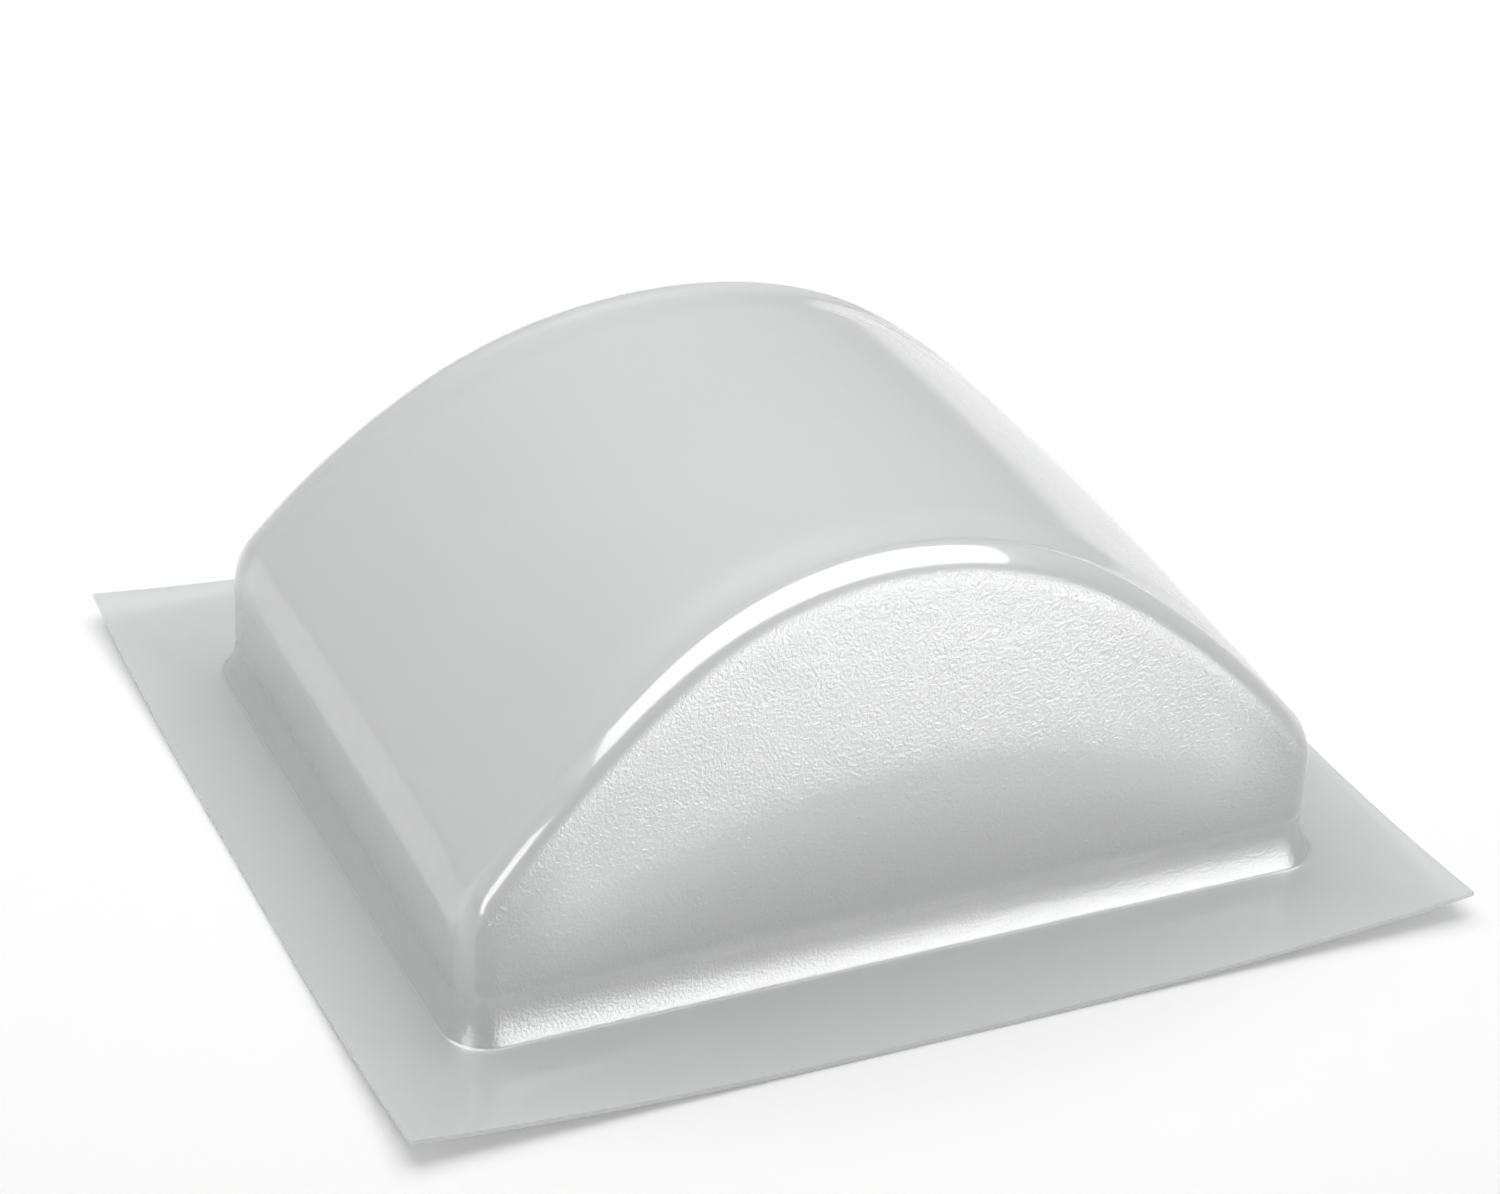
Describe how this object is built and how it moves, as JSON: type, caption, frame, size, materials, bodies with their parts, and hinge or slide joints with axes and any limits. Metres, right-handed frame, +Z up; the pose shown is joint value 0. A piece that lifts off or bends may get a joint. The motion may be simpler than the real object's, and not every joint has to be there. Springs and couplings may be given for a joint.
{
  "type": "roof vent cover",
  "caption": "One-piece translucent roof vent cover: a barrel-vault dome with D-shaped end walls on a flat rectangular fixing flange, open underneath.",
  "frame": {"origin": "centre of the flange's underside, which rests on the roof", "axes": "+Z up out of the roof; +X across the vault, the flange's long side; +Y along the vault, from one D-shaped end wall to the other"},
  "size_m": [0.56, 0.5, 0.208],
  "materials": {
    "hazy_clear_sheet": "hazy clear thermoformed acrylic, gloss on the vault and flange, fine pebble grain on the end walls"
  },
  "bodies": {
    "root": {"dome_cover": "hazy_clear_sheet"}
  },
  "joints": []
}
